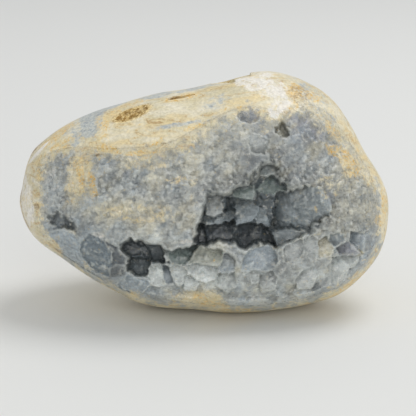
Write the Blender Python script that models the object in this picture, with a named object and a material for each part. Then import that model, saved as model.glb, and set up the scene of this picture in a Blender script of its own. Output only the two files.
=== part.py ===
# A celestite geode: a ground, egg-shaped nodule of layered limestone, open at the front
# on a hollow that is lined with blocky celestite crystals. It rests on a small flat spot.
#
# The shape is drawn in the plane of its outline. There u runs right, v runs up and w runs
# out of the opening, all in millimetres from the outline's centre. That plane leans back
# by LEAN, and the whole is then set on the floor in metres, with +Z up.

import math
import random

import bmesh
import bpy
import numpy as np
from mathutils import Matrix, Vector, noise

MM = 0.001
LEAN = math.radians(15)
FRONT_DEPTH = 45.0
BACK_DEPTH = 48.0
ROUNDNESS = 2.25
BASE_CUT = 2.2
NODULE_CUTS = 14
OPENING_CELLS = 18
OUTLINE = (
    (82.3, -8.1), (80.9, 1.6), (71.7, 17.9), (65.6, 29.4), (56.0, 42.4), (42.6, 50.4),
    (29.6, 53.8), (21.5, 52.6), (8.1, 49.6), (-6.3, 46.2), (-21.1, 43.9), (-35.4, 39.9),
    (-50.4, 35.2), (-69.9, 24.2), (-76.8, 17.4), (-81.0, 2.5), (-82.1, -5.4), (-76.7, -18.8),
    (-61.4, -30.9), (-41.7, -43.2), (-32.0, -48.3), (-6.3, -52.3), (10.5, -53.8),
    (29.6, -52.9), (46.0, -50.2), (59.6, -46.0), (69.9, -38.1), (78.9, -26.0),
)
OPENING = (
    (76.0, -8.0), (72.0, 7.6), (65.0, 18.8), (59.5, 27.0), (52.5, 34.5), (44.0, 37.5),
    (32.0, 34.2), (22.0, 35.9), (12.6, 34.5), (3.6, 30.5), (-6.3, 24.5), (-15.2, 20.4),
    (-26.0, 18.6), (-40.0, 18.0), (-55.0, 19.0), (-67.0, 16.5), (-73.0, 9.0), (-74.6, -3.0),
    (-72.8, -14.5), (-67.5, -22.5), (-55.5, -31.5), (-41.0, -39.8), (-30.5, -44.5),
    (-12.0, -47.6), (9.0, -49.3), (29.6, -49.0), (45.0, -46.4), (58.0, -41.6),
    (68.0, -33.2), (74.5, -21.5),
)

# The back was ground to a few broad flats: the way each faces as (u, v, w), and how far out it lies.
BACK_FLATS = (
    ((-0.55, 0.45, -0.70), 56.0),
    ((0.50, 0.55, -0.67), 60.0),
    ((0.62, -0.35, -0.70), 64.0),
    ((-0.45, -0.62, -0.64), 56.0),
    ((0.05, 0.10, -1.00), 46.0),
)
FLAT_SOFTNESS = 3.0

# Hollows in the druse: centre u, v; half-width and half-height; tilt in degrees; depth;
# the shares of its size between which the wall rises, so that a high first share is a steep wall;
# and the share inside which no crystal stands.
HOLLOWS = (
    ("main", 25.0, -11.0, 29.5, 14.5, 6.0, 31.0, 0.58, 1.12, 0.0),
    ("throat", 4.5, -17.5, 10.5, 7.5, 10.0, 25.0, 0.50, 1.20, 0.6),
    ("slit", -18.5, -26.5, 23.5, 9.0, -4.0, 31.0, 0.52, 1.10, 0.72),
    ("niche", 29.5, 6.5, 8.5, 9.0, 20.0, 14.0, 0.30, 1.30, 0.0),
    ("dish", 42.0, -10.0, 34.0, 28.0, 10.0, 7.0, 0.00, 1.00, 0.0),
    ("left_pocket", -61.0, -12.0, 7.5, 5.5, -20.0, 6.0, 0.20, 1.30, 0.0),
    ("top_hole", 34.5, 27.0, 4.4, 4.4, 0.0, 8.0, 0.20, 1.30, 0.9),
)
DEEPEST = 37.0
DRUSE_DEPTH = 4.2
LOWER_LIP_DEPTH = 6.5
RIM_RISE = -1.2
RIM_WIDTH = 8.0
CRUST_THICKNESS = 5.0
RIM_THICKNESS = 3.0
GAP = 0.35

PIT_CENTRE = (-30.5, 34.5, 23.5)
PIT_SIZE = (14.0, 6.2, 7.0)
PIT_TILT = math.radians(28)
CHIP_CENTRE = (16.8, 53.0, 9.0)
CHIP_SIZE = (17.0, 8.0, 30.0)
CHIP_TILT = math.radians(6)

CRYSTAL_SEED = 41
CRYSTAL_TRIES = 5000
MOST_CRYSTALS = 116
CRYSTAL_REACH = 0.47
LOZENGE = 0.22
SHORTEST_EDGE = 0.6


def round_curve(points):
    """The distance from the centre to a smooth closed curve through the points, as a function of angles."""
    knots = sorted((math.atan2(v, u), math.hypot(u, v)) for u, v in points)
    angles = np.array([angle for angle, _ in knots])
    reach = np.array([length for _, length in knots])
    turn = 2 * math.pi
    angles = np.concatenate([angles[-2:] - turn, angles, angles[:3] + turn])
    reach = np.concatenate([reach[-2:], reach, reach[:3]])
    slopes = np.zeros_like(reach)
    slopes[1:-1] = (reach[2:] - reach[:-2]) / (angles[2:] - angles[:-2])

    def distance(angle):
        angle = (np.asarray(angle, float) - angles[1]) % turn + angles[1]
        i = np.clip(np.searchsorted(angles, angle, side="right") - 1, 1, len(angles) - 3)
        step = angles[i + 1] - angles[i]
        t = (angle - angles[i]) / step
        return (
            (2 * t**3 - 3 * t**2 + 1) * reach[i]
            + (t**3 - 2 * t**2 + t) * step * slopes[i]
            + (3 * t**2 - 2 * t**3) * reach[i + 1]
            + (t**3 - t**2) * step * slopes[i + 1]
        )

    return distance


outline = round_curve(OUTLINE)
opening = round_curve(OPENING)


def smooth_step(low, high, x):
    t = np.clip((x - low) / (high - low), 0, 1)
    return t * t * (3 - 2 * t)


def front_surface(u, v):
    """How far out the ground surface of the whole nodule lies over each point of the outline's plane."""
    share = np.hypot(u, v) / outline(np.arctan2(v, u))
    return FRONT_DEPTH * np.clip(1 - share**ROUNDNESS, 0, 1) ** (1 / ROUNDNESS)


def in_ellipse(u, v, centre_u, centre_v, half_width, half_height, tilt):
    """0 at an ellipse's centre and 1 on its edge."""
    angle = math.radians(tilt)
    along = (u - centre_u) * math.cos(angle) + (v - centre_v) * math.sin(angle)
    across = (v - centre_v) * math.cos(angle) - (u - centre_u) * math.sin(angle)
    return np.hypot(along / half_width, across / half_height)


def rim_slant(angle):
    """How much longer a step across the opening's rim is along the line from the centre than square to the rim."""
    step = 0.01
    turn = (opening(angle + step) - opening(angle - step)) / (2 * step)
    return np.hypot(1, turn / opening(angle))


def away_from_rim(u, v):
    """0 on the opening's rim, and 1 where the druse has reached its full depth."""
    angle = np.arctan2(v, u)
    return smooth_step(0, RIM_WIDTH, (opening(angle) - np.hypot(u, v)) / rim_slant(angle))


def druse_depth(u, v):
    """How far below the ground surface the crystals' feet lie."""
    depth = DRUSE_DEPTH + (LOWER_LIP_DEPTH - DRUSE_DEPTH) * smooth_step(-22, -34, v)
    depth = RIM_RISE + (depth - RIM_RISE) * away_from_rim(u, v)
    for _, *ellipse, deep, near, far, _ in HOLLOWS:
        share = in_ellipse(u, v, *ellipse)
        dip = deep * (1 - smooth_step(near, far, share))
        depth = depth + dip * smooth_step(0, 0.5, away_from_rim(u, v))
    return np.minimum(depth, DEEPEST)


def druse_surface(u, v):
    return front_surface(u, v) - druse_depth(u, v)


def steepness(u, v):
    """How much longer the druse is than its flat shadow at a place, 1 where it lies level."""
    step = 1.0
    slope_u = (druse_depth(u + step, v) - druse_depth(u - step, v)) / (2 * step)
    slope_v = (druse_depth(u, v + step) - druse_depth(u, v - step)) / (2 * step)
    return np.sqrt(1 + slope_u**2 + slope_v**2)


def hollow_surface(u, v):
    """The limestone under the crystals."""
    thick = CRUST_THICKNESS * np.minimum(steepness(u, v), 2.2)
    return druse_surface(u, v) - (RIM_THICKNESS + (thick - RIM_THICKNESS) * away_from_rim(u, v))


def crust_foot(u, v):
    """The underside of the crust, just clear of the limestone, and a little more so where the rim thins it."""
    return hollow_surface(u, v) + GAP * (steepness(u, v) + 2 * (1 - away_from_rim(u, v)))


def set_points(bm, points):
    for vert, point in zip(bm.verts, points):
        vert.co = point


def to_object(bm, name):
    bmesh.ops.recalc_face_normals(bm, faces=bm.faces)
    mesh = bpy.data.meshes.new(name)
    bm.to_mesh(mesh)
    bm.free()
    made = bpy.data.objects.new(name, mesh)
    bpy.context.scene.collection.objects.link(made)
    return made


def helper(made):
    """Marks a cutter, or a shape that another takes in."""
    made.hide_render = True
    made.display_type = "WIRE"
    return made


def nodule_points(directions):
    """Where each direction from the centre meets the ground surface."""
    directions = np.asarray(directions, float)
    side = np.hypot(directions[:, 0], directions[:, 1])
    reach = outline(np.arctan2(directions[:, 1], directions[:, 0]))
    depth = np.where(directions[:, 2] > 0, FRONT_DEPTH, BACK_DEPTH)
    size = (side / reach) ** ROUNDNESS + (np.abs(directions[:, 2]) / depth) ** ROUNDNESS
    points = directions * (size ** (-1 / ROUNDNESS))[:, None]
    for facing, distance in BACK_FLATS:
        facing = np.array(facing) / np.linalg.norm(facing)
        beyond = (points @ facing - distance) / FLAT_SOFTNESS
        points = points - np.outer(np.logaddexp(0, beyond) * FLAT_SOFTNESS, facing)
    swell = [noise.noise(Vector(p) * 0.035) for p in points]
    back = smooth_step(4, -8, points[:, 2])
    return points * (1 + 0.022 * np.array(swell) * back)[:, None]


def build_nodule(name, cuts):
    """The whole ground nodule, before it was opened: a cube cut into even squares and swelled out to it."""
    bm = bmesh.new()
    bmesh.ops.create_cube(bm, size=2)
    bmesh.ops.subdivide_edges(bm, edges=bm.edges[:], cuts=cuts, use_grid_fill=True)
    directions = np.tan(np.array([v.co[:] for v in bm.verts]) * math.pi / 4)
    directions /= np.linalg.norm(directions, axis=1)[:, None]
    set_points(bm, nodule_points(directions))
    return to_object(bm, name)


def disc_solid(name, cells, margin, surface, far_side):
    """A block that fills the opening's outline and a margin round it, from a surface in it to a flat far side."""
    bm = bmesh.new()
    bmesh.ops.create_grid(bm, x_segments=cells, y_segments=cells, size=1)
    a = np.array([v.co.x for v in bm.verts])
    b = np.array([v.co.y for v in bm.verts])
    round_a = a * np.sqrt(1 - b * b / 2)
    round_b = b * np.sqrt(1 - a * a / 2)
    angle = np.arctan2(round_b, round_a)
    rim = np.hypot(round_a, round_b) > 0.999
    reach = opening(angle) + margin * rim * rim_slant(angle)
    u = round_a * reach
    v = round_b * reach
    set_points(bm, np.stack([u, v, surface(u, v)], axis=1))
    bmesh.ops.triangulate(bm, faces=bm.faces[:], quad_method="FIXED")
    pulled = bmesh.ops.extrude_face_region(bm, geom=bm.faces[:])["geom"]
    for vert in (g for g in pulled if isinstance(g, bmesh.types.BMVert)):
        vert.co.z = far_side
    return to_object(bm, name)


def combine(target, other, operation, solver="EXACT"):
    """Runs a Boolean with an object or a collection for good, so that each step starts from one plain mesh."""
    modifier = target.modifiers.new(operation, "BOOLEAN")
    modifier.operation = operation
    modifier.solver = solver
    if isinstance(other, bpy.types.Collection):
        modifier.operand_type = "COLLECTION"
        modifier.collection = other
    else:
        modifier.object = other
    graph = bpy.context.evaluated_depsgraph_get()
    made = bpy.data.meshes.new_from_object(target.evaluated_get(graph))
    target.modifiers.remove(modifier)
    old = target.data
    target.data = made
    bpy.data.meshes.remove(old)


def keep_main_body(target):
    """Drops loose chips, and the sealed voids that crowded crystals leave between them."""
    bm = bmesh.new()
    bm.from_mesh(target.data)
    left = set(bm.faces)
    bodies = []
    while left:
        body = {left.pop()}
        edge_of_body = list(body)
        while edge_of_body:
            face = edge_of_body.pop()
            beside = {f for edge in face.edges for f in edge.link_faces} & left
            left -= beside
            body |= beside
            edge_of_body.extend(beside)
        bodies.append(body)
    bodies.sort(key=len)
    for body in bodies[:-1]:
        bmesh.ops.delete(bm, geom=list(body), context="FACES")
    bm.to_mesh(target.data)
    bm.free()


def close_short_edges(target):
    """Draws the ends of very short edges together, wherever that leaves the surface closed."""
    bm = bmesh.new()
    bm.from_mesh(target.data)
    bmesh.ops.triangulate(bm, faces=bm.faces)
    picked = [None]
    while picked:
        picked = []
        touched = set()
        for edge in sorted(bm.edges, key=lambda e: e.calc_length()):
            if edge.calc_length() > SHORTEST_EDGE:
                break
            ends = edge.verts
            around = {v for end in ends for face in end.link_faces for v in face.verts}
            beside = [{link.other_vert(end) for link in end.link_edges} for end in ends]
            if len(beside[0] & beside[1]) == 2 and not around & touched:
                picked.append(edge)
                touched |= around
        for edge in picked:
            ends = list(edge.verts)
            middle = (ends[0].co + ends[1].co) / 2
            bmesh.ops.pointmerge(bm, verts=ends, merge_co=middle)
    bm.to_mesh(target.data)
    bm.free()


def crystal_shapes():
    """Blocky celestite forms, one unit wide: a lozenge prism closed at the tip by flat or slanting faces.

    Each face at the tip is a point that it passes through and the way that it faces.
    """
    chisel = (((0, 0, 0.5), (0.75, 0.05, 1)), ((0, 0, 0.5), (-0.70, -0.05, 1)))
    hipped = (*chisel, ((0, 0.22, 0.5), (0, 1.1, 1)), ((0, -0.25, 0.5), (0, -1.0, 1)))
    table = (
        ((0.25, 0, 0.5), (1.1, 0.1, 1)),
        ((-0.32, 0, 0.5), (-1.0, 0, 1)),
        ((0, 0.30, 0.5), (0.1, 1.2, 1)),
    )
    slope = (((0, 0, 0.38), (0.42, 0.16, 1)), ((-0.30, 0, 0.4), (-1.2, 0.2, 1)))
    point = (
        ((0, 0, 0.5), (0.85, 0.45, 1)),
        ((0, 0, 0.5), (-0.80, 0.50, 1)),
        ((0, 0, 0.5), (0.05, -0.85, 1)),
    )
    shapes = []
    for faces in (chisel, hipped, table, slope, point):
        bm = bmesh.new()
        bmesh.ops.create_cube(bm, size=1)
        for vert in bm.verts:
            vert.co.x += LOZENGE * vert.co.y
        for point_on_face, facing in faces:
            geometry = bm.verts[:] + bm.edges[:] + bm.faces[:]
            cut = bmesh.ops.bisect_plane(
                bm, geom=geometry, plane_co=point_on_face, plane_no=facing, clear_outer=True
            )["geom_cut"]
            bmesh.ops.edgeloop_fill(bm, edges=[g for g in cut if isinstance(g, bmesh.types.BMEdge)])
        mesh = bpy.data.meshes.new("crystal_shape")
        bm.to_mesh(mesh)
        bm.free()
        shapes.append(mesh)
    return shapes


def crystal_size(u, v):
    """How wide the crystals are at a place: small grains on the upper lobe, large blocks low and in the hollow."""
    lobe = in_ellipse(u, v, -32.0, 0.0, 44.0, 22.0, -6.0)
    deep = druse_depth(u, v)
    size = 7.6 + 2.0 * float(smooth_step(10, 22, deep)) + 2.4 * float(smooth_step(-24, -32, v))
    return size - 1.4 * float(1 - smooth_step(0.75, 1.1, lobe)) - 2.4 * float(smooth_step(1.2, 3, steepness(u, v)))


def facing_out(u, v):
    """The way the druse faces at a place, not quite as steep as its walls."""
    step = 1.5
    slope_u = float(druse_surface(u + step, v) - druse_surface(u - step, v)) / (2 * step)
    slope_v = float(druse_surface(u, v + step) - druse_surface(u, v - step)) / (2 * step)
    return Vector((-0.8 * slope_u, -0.8 * slope_v, 1)).normalized()


def crystal_places():
    """Where the crystals stand: foot, matrix and shape number, none crowding another."""
    draw = random.Random(CRYSTAL_SEED)
    places = []
    for _ in range(CRYSTAL_TRIES):
        u, v = draw.uniform(-80, 80), draw.uniform(-52, 42)
        share = math.hypot(u, v) / float(opening(math.atan2(v, u)))
        bare = any(in_ellipse(u, v, *hollow[1:6]) < hollow[-1] for hollow in HOLLOWS)
        if share > 0.93 or bare or len(places) == MOST_CRYSTALS:
            continue
        size = crystal_size(u, v) * draw.uniform(0.8, 1.3)
        foot = Vector((u, v, float(druse_surface(u, v))))
        if any((foot - other).length < CRYSTAL_REACH * (size + width) for other, width, _, _ in places):
            continue
        lean = Vector([draw.uniform(-0.45, 0.45) for _ in range(3)])
        up = (facing_out(u, v) + lean).normalized()
        turn = Matrix.Rotation(draw.uniform(0, math.pi), 4, "Z")
        height = size * 1.7
        stretch = Matrix.Diagonal((size * 1.3, size * draw.uniform(0.75, 1.15), height, 1))
        risen = 0.12 - 0.22 * float(smooth_step(12, 26, druse_depth(u, v)))
        stand = Matrix.Translation(foot + up * height * risen) @ up.to_track_quat("Z", "Y").to_matrix().to_4x4()
        places.append((foot, size, stand @ turn @ stretch, draw.randrange(5)))
    return places


def build_crystals():
    """Each crystal as a helper of its own, in one collection, for the crust to take in."""
    shapes = crystal_shapes()
    crystals = bpy.data.collections.new("crystals")
    bpy.context.scene.collection.children.link(crystals)
    for _, _, matrix, number in crystal_places():
        placed = shapes[number].copy()
        placed.transform(matrix)
        crystals.objects.link(helper(bpy.data.objects.new("crystal", placed)))
    return crystals


def ellipsoid(name, centre, size, tilt):
    bm = bmesh.new()
    bmesh.ops.create_icosphere(bm, subdivisions=2, radius=0.5)
    matrix = Matrix.Translation(centre) @ Matrix.Rotation(tilt, 4, "Z") @ Matrix.Diagonal((*size, 1))
    bmesh.ops.transform(bm, matrix=matrix, verts=bm.verts)
    return to_object(bm, name)


def stand_up(parts, nodule):
    """Leans the outline's plane back and sets the nodule on the floor, cut flat where it rests."""
    lean = Matrix.Rotation(math.pi / 2 - LEAN, 4, "X")
    corners = np.array([(lean @ v.co)[:] for v in nodule.data.vertices])
    low, high = corners.min(0), corners.max(0)
    shift = Vector((-(low[0] + high[0]) / 2, -(low[1] + high[1]) / 2, -(low[2] + BASE_CUT)))
    place = Matrix.Scale(MM, 4) @ Matrix.Translation(shift) @ lean
    for part in parts:
        part.data.transform(place)
        bm = bmesh.new()
        bm.from_mesh(part.data)
        geometry = bm.verts[:] + bm.edges[:] + bm.faces[:]
        cut = bmesh.ops.bisect_plane(bm, geom=geometry, plane_co=(0, 0, 0), plane_no=(0, 0, -1), clear_outer=True)
        edges = [g for g in cut["geom_cut"] if isinstance(g, bmesh.types.BMEdge)]
        if edges:
            bmesh.ops.edgeloop_fill(bm, edges=edges)
        bm.to_mesh(part.data)
        bm.free()


def finish_of(part, name, colour, roughness):
    material = bpy.data.materials.new(name)
    material.use_nodes = True
    shader = material.node_tree.nodes["Principled BSDF"]
    shader.inputs["Base Color"].default_value = (*colour, 1)
    shader.inputs["Roughness"].default_value = roughness
    shader.inputs["Metallic"].default_value = 0.0
    part.data.materials.clear()
    part.data.materials.append(material)


def build_rind():
    """The limestone: the nodule less its hollow, the pit on its shoulder and the chip on its top."""
    rind = build_nodule("limestone_rind", NODULE_CUTS)
    hollow = helper(disc_solid("hollow_cutter", OPENING_CELLS, 0.0, hollow_surface, 70.0))
    pit = helper(ellipsoid("pit_cutter", PIT_CENTRE, PIT_SIZE, PIT_TILT))
    chip = helper(ellipsoid("chip_cutter", CHIP_CENTRE, CHIP_SIZE, CHIP_TILT))
    for cutter in (hollow, pit, chip):
        combine(rind, cutter, "DIFFERENCE")
        bpy.data.objects.remove(cutter)
    return rind


def build_crust(nodule):
    """The crystals and what they grew on, ground flush with the nodule and clear of the limestone."""
    crust = disc_solid("celestite_crust", OPENING_CELLS, 2.0, druse_surface, -40.0)
    room = helper(disc_solid("crust_room", OPENING_CELLS, -GAP, crust_foot, 70.0))
    crystals = build_crystals()
    # The exact solver leaves open edges where this many blocks overlap
    combine(crust, crystals, "UNION", "MANIFOLD")
    combine(crust, room, "INTERSECT", "MANIFOLD")
    combine(crust, nodule, "INTERSECT", "MANIFOLD")
    keep_main_body(crust)
    close_short_edges(crust)
    for used in (room, *crystals.objects):
        bpy.data.objects.remove(used)
    bpy.data.collections.remove(crystals)
    return crust


def main():
    for old in list(bpy.data.objects):
        bpy.data.objects.remove(old)
    nodule = helper(build_nodule("ground_nodule", NODULE_CUTS))
    rind = build_rind()
    crust = build_crust(nodule)
    stand_up((rind, crust), nodule)
    bpy.data.objects.remove(nodule)
    finish_of(rind, "ground_limestone", (0.72, 0.64, 0.47), 0.45)
    finish_of(crust, "celestite", (0.42, 0.49, 0.56), 0.25)


main()
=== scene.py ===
"""A ground celestite geode: a polished nodule of layered limestone, open in front on its crystals.

Shapes are drawn in the plane of the nodule's outline. There u runs right, v runs up and w runs out
of the opening, all in millimetres from the outline's centre. That plane leans back by LEAN.
"""

import math
import random

import bmesh
import bpy
import numpy as np
from mathutils import Matrix, Vector, noise


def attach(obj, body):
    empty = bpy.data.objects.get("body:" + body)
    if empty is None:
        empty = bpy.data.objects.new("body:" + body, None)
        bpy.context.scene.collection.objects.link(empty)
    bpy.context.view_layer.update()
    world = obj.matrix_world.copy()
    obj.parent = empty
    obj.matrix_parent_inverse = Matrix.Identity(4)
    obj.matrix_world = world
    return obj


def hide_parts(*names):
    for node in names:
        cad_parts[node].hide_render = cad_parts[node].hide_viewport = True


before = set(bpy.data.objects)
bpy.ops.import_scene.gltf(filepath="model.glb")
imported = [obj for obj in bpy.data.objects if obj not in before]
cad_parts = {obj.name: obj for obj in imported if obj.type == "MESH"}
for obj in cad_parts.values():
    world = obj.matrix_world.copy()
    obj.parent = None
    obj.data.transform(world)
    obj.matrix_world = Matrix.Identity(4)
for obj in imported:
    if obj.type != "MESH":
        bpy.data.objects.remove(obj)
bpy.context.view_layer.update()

MM = 0.001
LEAN = math.radians(15)
FRONT_DEPTH = 45.0
BACK_DEPTH = 48.0
ROUNDNESS = 2.25
BASE_CUT = 2.2
OUTLINE = (
    (82.3, -8.1), (80.9, 1.6), (71.7, 17.9), (65.6, 29.4), (56, 42.4), (42.6, 50.4), (29.6, 53.8),
    (23, 53.5), (8.1, 49.6), (-6.3, 46.2), (-21.1, 43.9), (-35.4, 39.9), (-50.4, 35.2), (-69.9, 24.2),
    (-76.8, 17.4), (-81, 2.5), (-82.1, -5.4), (-76.7, -18.8), (-61.4, -30.9), (-41.7, -43.2), (-32, -48.3),
    (-6.3, -52.3), (10.5, -53.8), (29.6, -52.9), (46, -50.2), (59.6, -46), (69.9, -38.1), (78.9, -26),
)
OPENING = (
    (76, -8), (72, 7.6), (65, 18.8), (59.5, 27), (52.5, 34.5), (44, 37.5), (32, 34.2), (22, 35.9),
    (12.6, 34.5), (3.6, 30.5), (-6.3, 24.5), (-15.2, 20.4), (-26, 18.6), (-40, 18), (-55, 19), (-67, 16.5),
    (-73, 9), (-74.6, -3), (-72.8, -14.5), (-67.5, -22.5), (-55.5, -31.5), (-41, -39.8), (-30.5, -44.5),
    (-12, -47.6), (9, -49.3), (29.6, -49), (45, -46.4), (58, -41.6), (68, -33.2), (74.5, -21.5),
)
# The back was ground to a few broad flats: the way each faces as (u, v, w), and how far out it lies.
BACK_FLATS = (
    ((-0.55, 0.45, -0.70), 56.0),
    ((0.50, 0.55, -0.67), 60.0),
    ((0.62, -0.35, -0.70), 64.0),
    ((-0.45, -0.62, -0.64), 56.0),
    ((0.05, 0.10, -1.00), 46.0),
)
FLAT_SOFTNESS = 3.0

# The edges of the hollows that open between the crystals
MAIN_HOLLOW = (
    (-3.6, -23.3), (0.4, -22.9), (6.3, -21.5), (12.6, -22), (14.3, -24.2), (18.4, -25.1), (21.5, -23.3),
    (27.4, -22.4), (30.5, -24.7), (34.1, -22.4), (39.5, -20.2), (43, -17.9), (46.6, -16.1), (49.5, -13.5),
    (51, -9.4), (50.5, -4.5), (48.5, -0.5), (45.1, 1.4), (35.9, 0.9), (35.4, 2.7), (32.7, 9), (28.7, 13),
    (23.8, 9.9), (20.6, 6.3), (17.5, 3.1), (10, -1.8), (1.8, -1.8), (0.4, -5.8), (-0.4, -9.9),
    (-2.7, -15.2), (-3.6, -19.3),
)
SLIT = (
    (-35.2, -24.2), (-32.3, -20), (-28.2, -21.1), (-24.7, -22.2), (-21.7, -22.2), (-18.8, -23.6),
    (-14.1, -24.7), (-8.1, -24.4), (-2, -22), (-2.6, -26), (-6.3, -29.1), (-8.1, -30.5), (-12.6, -31.4),
    (-17, -30.5), (-22.9, -30.5), (-23.8, -35.4), (-28.7, -35.9), (-33.6, -34.8), (-34.5, -29.6),
)
LEFT_POCKET = (
    (-66.5, -9.6), (-62, -8), (-57.7, -10.3), (-53.6, -14.9), (-54.5, -18.6), (-60.8, -17.3), (-65, -15),
    (-67.4, -12.3),
)
TOP_HOLE = ((30.6, 27.2), (32.6, 29.2), (35.8, 27.8), (36.0, 24.0), (33.0, 22.8), (30.8, 24.4))
# Each hollow's edge, depth in its middle, how much deeper it gets along u and v, and its wall's width
HOLLOWS = (
    (MAIN_HOLLOW, 20, (24, -12), (-0.32, -0.3), 3),
    (SLIT, 17, (-20, -27), (0.1, 0.1), 1.6),
    (LEFT_POCKET, 7.5, (-60, -13), (0, -0.1), 4.5),
    (TOP_HOLE, 8, (33.2, 26), (0, 0), 2.4),
)
# Where the crystals are ground level with the nodule, and where they grew wider, as soft ellipses
GROUND_LEVEL = ((-50, -27, 20, 13, -35, 1),)
GREW_WIDER = ((20, 17, 26, 15, 10, 1),)
CRUST_THICKNESS = 5.0
# Blocks that cut the stone or the crust reach this far along w, well past both
FAR_FRONT, FAR_BACK = 70.0, -40.0
# The crystals are worked out on even cells of this width, over this much of the opening's plane
CELL = 0.26
LOW_U, HIGH_U, LOW_V, HIGH_V = -77.0, 79.0, -52.0, 41.0
CELLS_U, CELLS_V = round((HIGH_U - LOW_U) / CELL), round((HIGH_V - LOW_V) / CELL)
# A large crystal deeper than the first stands inside a hollow; past the second, it shows only over the wall
IN_HOLLOW, OVER_WALL = 9, 6
# Rounds of small crystals: their size as a share of the middling ones, and how many are tried
FIRST_ROUNDS = ((1.9, 1600), (1.2, 3000))
LATER_ROUNDS = ((1.25, 1500), (0.75, 5000), (0.48, 9000))
NODULE_CUTS, PLACING_CUTS, BLOCK_CELLS, CHIP_CUTS = 110, 14, 70, 24
MOST_TRIANGLES = 190000
SHARP_ANGLE = math.radians(32)
SEED = 5

# The lamps: place, width in metres, and power in watts
LAMPS = (
    ("softbox_above", (0.8, 0.3, 2.0), 1.3, 17.5),
    ("softbox_front", (0.4, -2.0, 0.8), 1.4, 10.5),
)
LAMPS_AIM = (0, 0, 0.05)
ROOM_COLOUR, ROOM_LIGHT = (0.97, 0.985, 1.0, 1), 0.61
# The camera: its lens, its distance, and how far to the right and up of the outline's centre it aims
LENS, CAMERA_DISTANCE, AIM_RIGHT, AIM_UP = 119.7, 0.62, 0.00179, -0.00717
BUMP_DISTANCE = 0.0004


def round_curve(points):
    """The distance from the centre to a smooth closed curve through the points, as a function of angles."""
    knots = sorted((math.atan2(v, u), math.hypot(u, v)) for u, v in points)
    angles = np.array([angle for angle, _ in knots])
    reach = np.array([length for _, length in knots])
    turn = 2 * math.pi
    angles = np.concatenate([angles[-2:] - turn, angles, angles[:3] + turn])
    reach = np.concatenate([reach[-2:], reach, reach[:3]])
    slopes = np.zeros_like(reach)
    slopes[1:-1] = (reach[2:] - reach[:-2]) / (angles[2:] - angles[:-2])

    def distance(angle):
        angle = (np.asarray(angle, float) - angles[1]) % turn + angles[1]
        i = np.clip(np.searchsorted(angles, angle, side="right") - 1, 1, len(angles) - 3)
        step = angles[i + 1] - angles[i]
        t = (angle - angles[i]) / step
        return (
            (2 * t**3 - 3 * t**2 + 1) * reach[i]
            + (t**3 - 2 * t**2 + t) * step * slopes[i]
            + (3 * t**2 - 2 * t**3) * reach[i + 1]
            + (t**3 - t**2) * step * slopes[i + 1]
        )

    return distance


outline = round_curve(OUTLINE)
opening = round_curve(OPENING)


def smooth_step(low, high, x):
    t = np.clip((x - low) / (high - low), 0, 1)
    return t * t * (3 - 2 * t)


def front_surface(u, v):
    """How far out the ground surface of the whole nodule lies over each point of the outline's plane."""
    share = np.hypot(u, v) / outline(np.arctan2(v, u))
    return FRONT_DEPTH * np.clip(1 - share**ROUNDNESS, 0, 1) ** (1 / ROUNDNESS)


def rim_distance(u, v):
    """How far inside the opening's rim a place lies, measured square to the rim."""
    angle = np.arctan2(v, u)
    step = 0.01
    slant = np.hypot(1, (opening(angle + step) - opening(angle - step)) / (2 * step) / opening(angle))
    return (opening(angle) - np.hypot(u, v)) / slant


def distance_inside(u, v, edge):
    """How far inside a closed edge of straight runs a place lies, negative outside it."""
    nearest = np.full(np.shape(u), np.inf)
    inside = np.zeros(np.shape(u), bool)
    for (au, av), (bu, bv) in zip(edge, edge[1:] + edge[:1]):
        du, dv = bu - au, bv - av
        t = np.clip(((u - au) * du + (v - av) * dv) / (du * du + dv * dv), 0, 1)
        nearest = np.minimum(nearest, np.hypot(u - au - t * du, v - av - t * dv))
        crosses = (av > v) != (bv > v)
        inside ^= crosses & (u < au + (v - av) * du / (dv or 1e-9))
    return np.where(inside, nearest, -nearest)


def waves(u, v, spacing, seed):
    """Smooth random waves over the plane, about -1 to 1: three sizes, of seven waves each."""
    draw = np.random.default_rng(seed)
    total, weight = 0.0, 0.0
    for octave in range(3):
        for _ in range(7):
            way = draw.uniform(0, 2 * math.pi)
            pitch = 2 * math.pi / (spacing * draw.uniform(0.7, 1.4)) * 2**octave
            along = u * math.cos(way) + v * math.sin(way)
            total = total + np.sin(along * pitch + draw.uniform(0, 6.3)) / 2**octave
        weight += math.sqrt(7) / 2**octave
    return total / weight


def spots(u, v, places):
    """A mask made of soft ellipses: centre u, v; half-width and half-height; tilt in degrees; strength."""
    mask = np.zeros(np.shape(u))
    for cu, cv, half_width, half_height, tilt, strength in places:
        angle = math.radians(tilt)
        along = ((u - cu) * math.cos(angle) + (v - cv) * math.sin(angle)) / half_width
        across = ((v - cv) * math.cos(angle) - (u - cu) * math.sin(angle)) / half_height
        mask = np.maximum(mask, strength * (1 - smooth_step(0.45, 1.35, np.hypot(along, across))))
    return mask


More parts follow.
